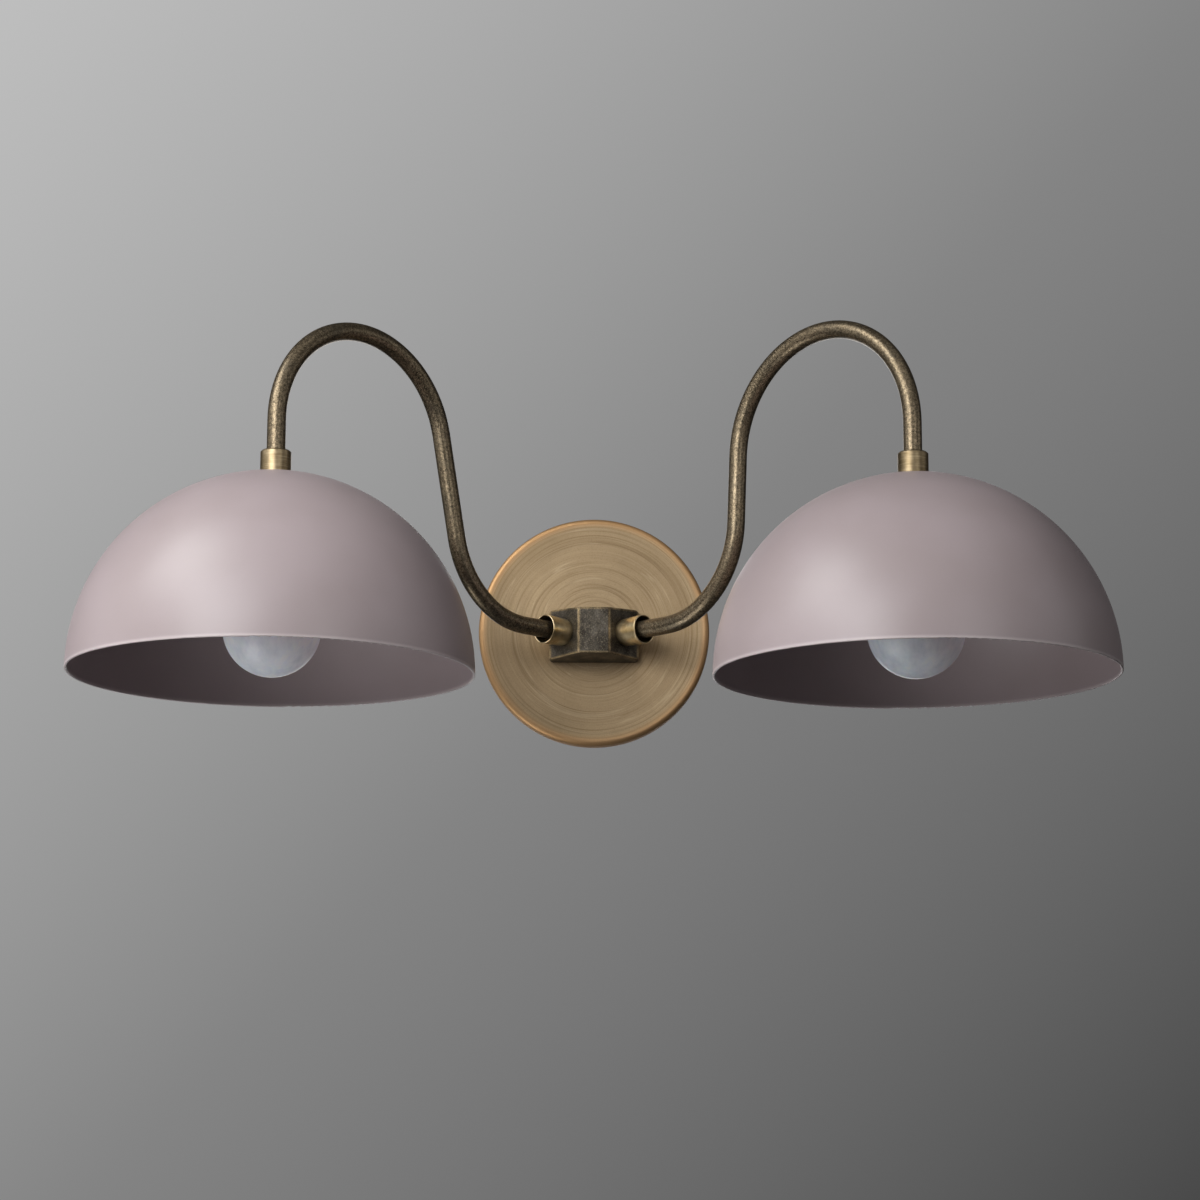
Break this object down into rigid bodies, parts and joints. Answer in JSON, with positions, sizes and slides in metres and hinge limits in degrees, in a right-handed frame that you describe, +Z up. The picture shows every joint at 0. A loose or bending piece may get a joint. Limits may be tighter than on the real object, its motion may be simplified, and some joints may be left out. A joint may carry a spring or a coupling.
{
  "type": "double arm wall sconce",
  "caption": "Wall light: a round canopy and cast hub carry S-bent tube arms that arch outwards at 45 degrees to domed metal shades, open below over small globe bulbs.",
  "frame": {"origin": "centre of the canopy's back face, on the wall", "axes": "+Z up, +Y into the wall, +X to the right seen from the room"},
  "size_m": [0.5246, 0.2675, 0.2062],
  "materials": {
    "canopy_brass": "brushed antique brass with a warmer turned edge",
    "hub_bronze": "dark aged brass with worn bright edges",
    "tube_bronze": "aged bronze patina, mottled",
    "collar_brass": "satin antique brass, turned",
    "shade_paint": "satin dusty mauve paint",
    "zinc_steel": "zinc plated",
    "ground_green": "green plated",
    "contact_brass": "bare brass",
    "bulb_cap_metal": "bare aluminium",
    "bulb_glass": "frosted white glass",
    "insulator_glass": "black fused glass",
    "phenolic": "moulded phenolic",
    "cable_jacket": "round two-core cable jacket",
    "bushing_plastic": "nylon"
  },
  "bodies": {
    "sconce": {"canopy": "canopy_brass", "wall_bracket": "zinc_steel", "canopy_grub_screws": "zinc_steel", "ground_screw": "ground_green", "wire_bushing": "bushing_plastic", "hub_body": "hub_bronze", "hub_screws": "zinc_steel", "hub_screw_washers": "zinc_steel", "hub_cup_left": "collar_brass", "arm_lock_nut_left": "collar_brass", "arm_tube_left": "tube_bronze", "lead_cable_left": "cable_jacket", "shade_collar_left": "collar_brass", "shade_left": "shade_paint", "socket_nipple_left": "contact_brass", "shade_washer_left": "zinc_steel", "shade_lock_nut_left": "contact_brass", "socket_cap_left": "collar_brass", "socket_body_left": "phenolic", "terminal_screws_left": "contact_brass", "screw_shell_left": "bulb_cap_metal", "centre_contact_left": "contact_brass", "hub_cup_right": "collar_brass", "arm_lock_nut_right": "collar_brass", "arm_tube_right": "tube_bronze", "lead_cable_right": "cable_jacket", "shade_collar_right": "collar_brass", "shade_right": "shade_paint", "socket_nipple_right": "contact_brass", "shade_washer_right": "zinc_steel", "shade_lock_nut_right": "contact_brass", "socket_cap_right": "collar_brass", "socket_body_right": "phenolic", "terminal_screws_right": "contact_brass", "screw_shell_right": "bulb_cap_metal", "centre_contact_right": "contact_brass"},
    "bulb_left": {"bulb_globe_left": "bulb_glass", "bulb_base_left": "bulb_cap_metal", "bulb_insulator_left": "insulator_glass", "bulb_tip_left": "contact_brass"},
    "bulb_right": {"bulb_globe_right": "bulb_glass", "bulb_base_right": "bulb_cap_metal", "bulb_insulator_right": "insulator_glass", "bulb_tip_right": "contact_brass"}
  },
  "joints": [
    {"name": "bulb_out_left", "type": "slide", "parent": "sconce", "child": "bulb_left", "axis": [0, 0, -1], "range_m": [0, 0.085]},
    {"name": "bulb_out_right", "type": "slide", "parent": "sconce", "child": "bulb_right", "axis": [0, 0, -1], "range_m": [0, 0.085]}
  ]
}
